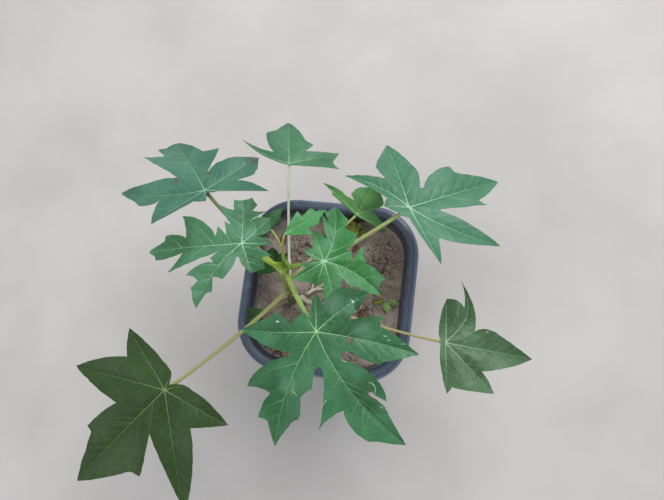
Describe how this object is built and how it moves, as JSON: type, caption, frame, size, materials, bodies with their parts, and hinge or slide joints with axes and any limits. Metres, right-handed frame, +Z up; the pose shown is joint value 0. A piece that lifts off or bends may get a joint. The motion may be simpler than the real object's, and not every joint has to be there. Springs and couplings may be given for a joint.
{
  "type": "potted papaya plant",
  "caption": "Young papaya plant with long-stalked, deeply lobed leaves around a short leaning stem, growing in a square plastic pot with rounded corners.",
  "frame": {"origin": "centre of the pot's flat underside", "axes": "+Z up; the pot's sides run along X and Y; the stem leans towards +X and +Y"},
  "size_m": [0.4885, 0.4252, 0.3119],
  "materials": {
    "pot": "satin blue-black, dusty on the rim",
    "soil": "rough crumbly sandy earth",
    "stem": "smooth olive green with leaf scars",
    "stalk": "smooth yellow-green",
    "pale_stalk": "smooth whitish green",
    "leaf": "matt leaf with a soft bluish sheen and pale veins",
    "dark_leaf": "older dark green leaf",
    "young_leaf": "young light green leaf",
    "litter": "dry and pale"
  },
  "bodies": {
    "root": {"pot": "pot", "soil": "soil", "stem": "stem", "apex_bud": "young_leaf", "stalk_front": "stalk", "leaf_front": "leaf", "stalk_lower_left": "stalk", "leaf_lower_left": "dark_leaf", "stalk_right": "stalk", "leaf_right": "leaf", "stalk_upper_right": "stalk", "leaf_upper_right": "leaf", "stalk_top": "pale_stalk", "leaf_top": "leaf", "stalk_upper_left": "stalk", "leaf_upper_left": "leaf", "stalk_left": "stalk", "leaf_left": "leaf", "stalk_middle": "stalk", "leaf_middle": "young_leaf", "stalk_low_back": "stalk", "leaf_low_back": "leaf", "stalk_young": "stalk", "leaf_young": "young_leaf", "stalk_small_back": "stalk", "leaf_small_back": "leaf", "stalk_low_front": "stalk", "leaf_low_front": "dark_leaf", "stalk_low_shade": "stalk", "leaf_low_shade": "dark_leaf", "litter_stub": "litter", "litter_twig": "litter"}
  },
  "joints": []
}
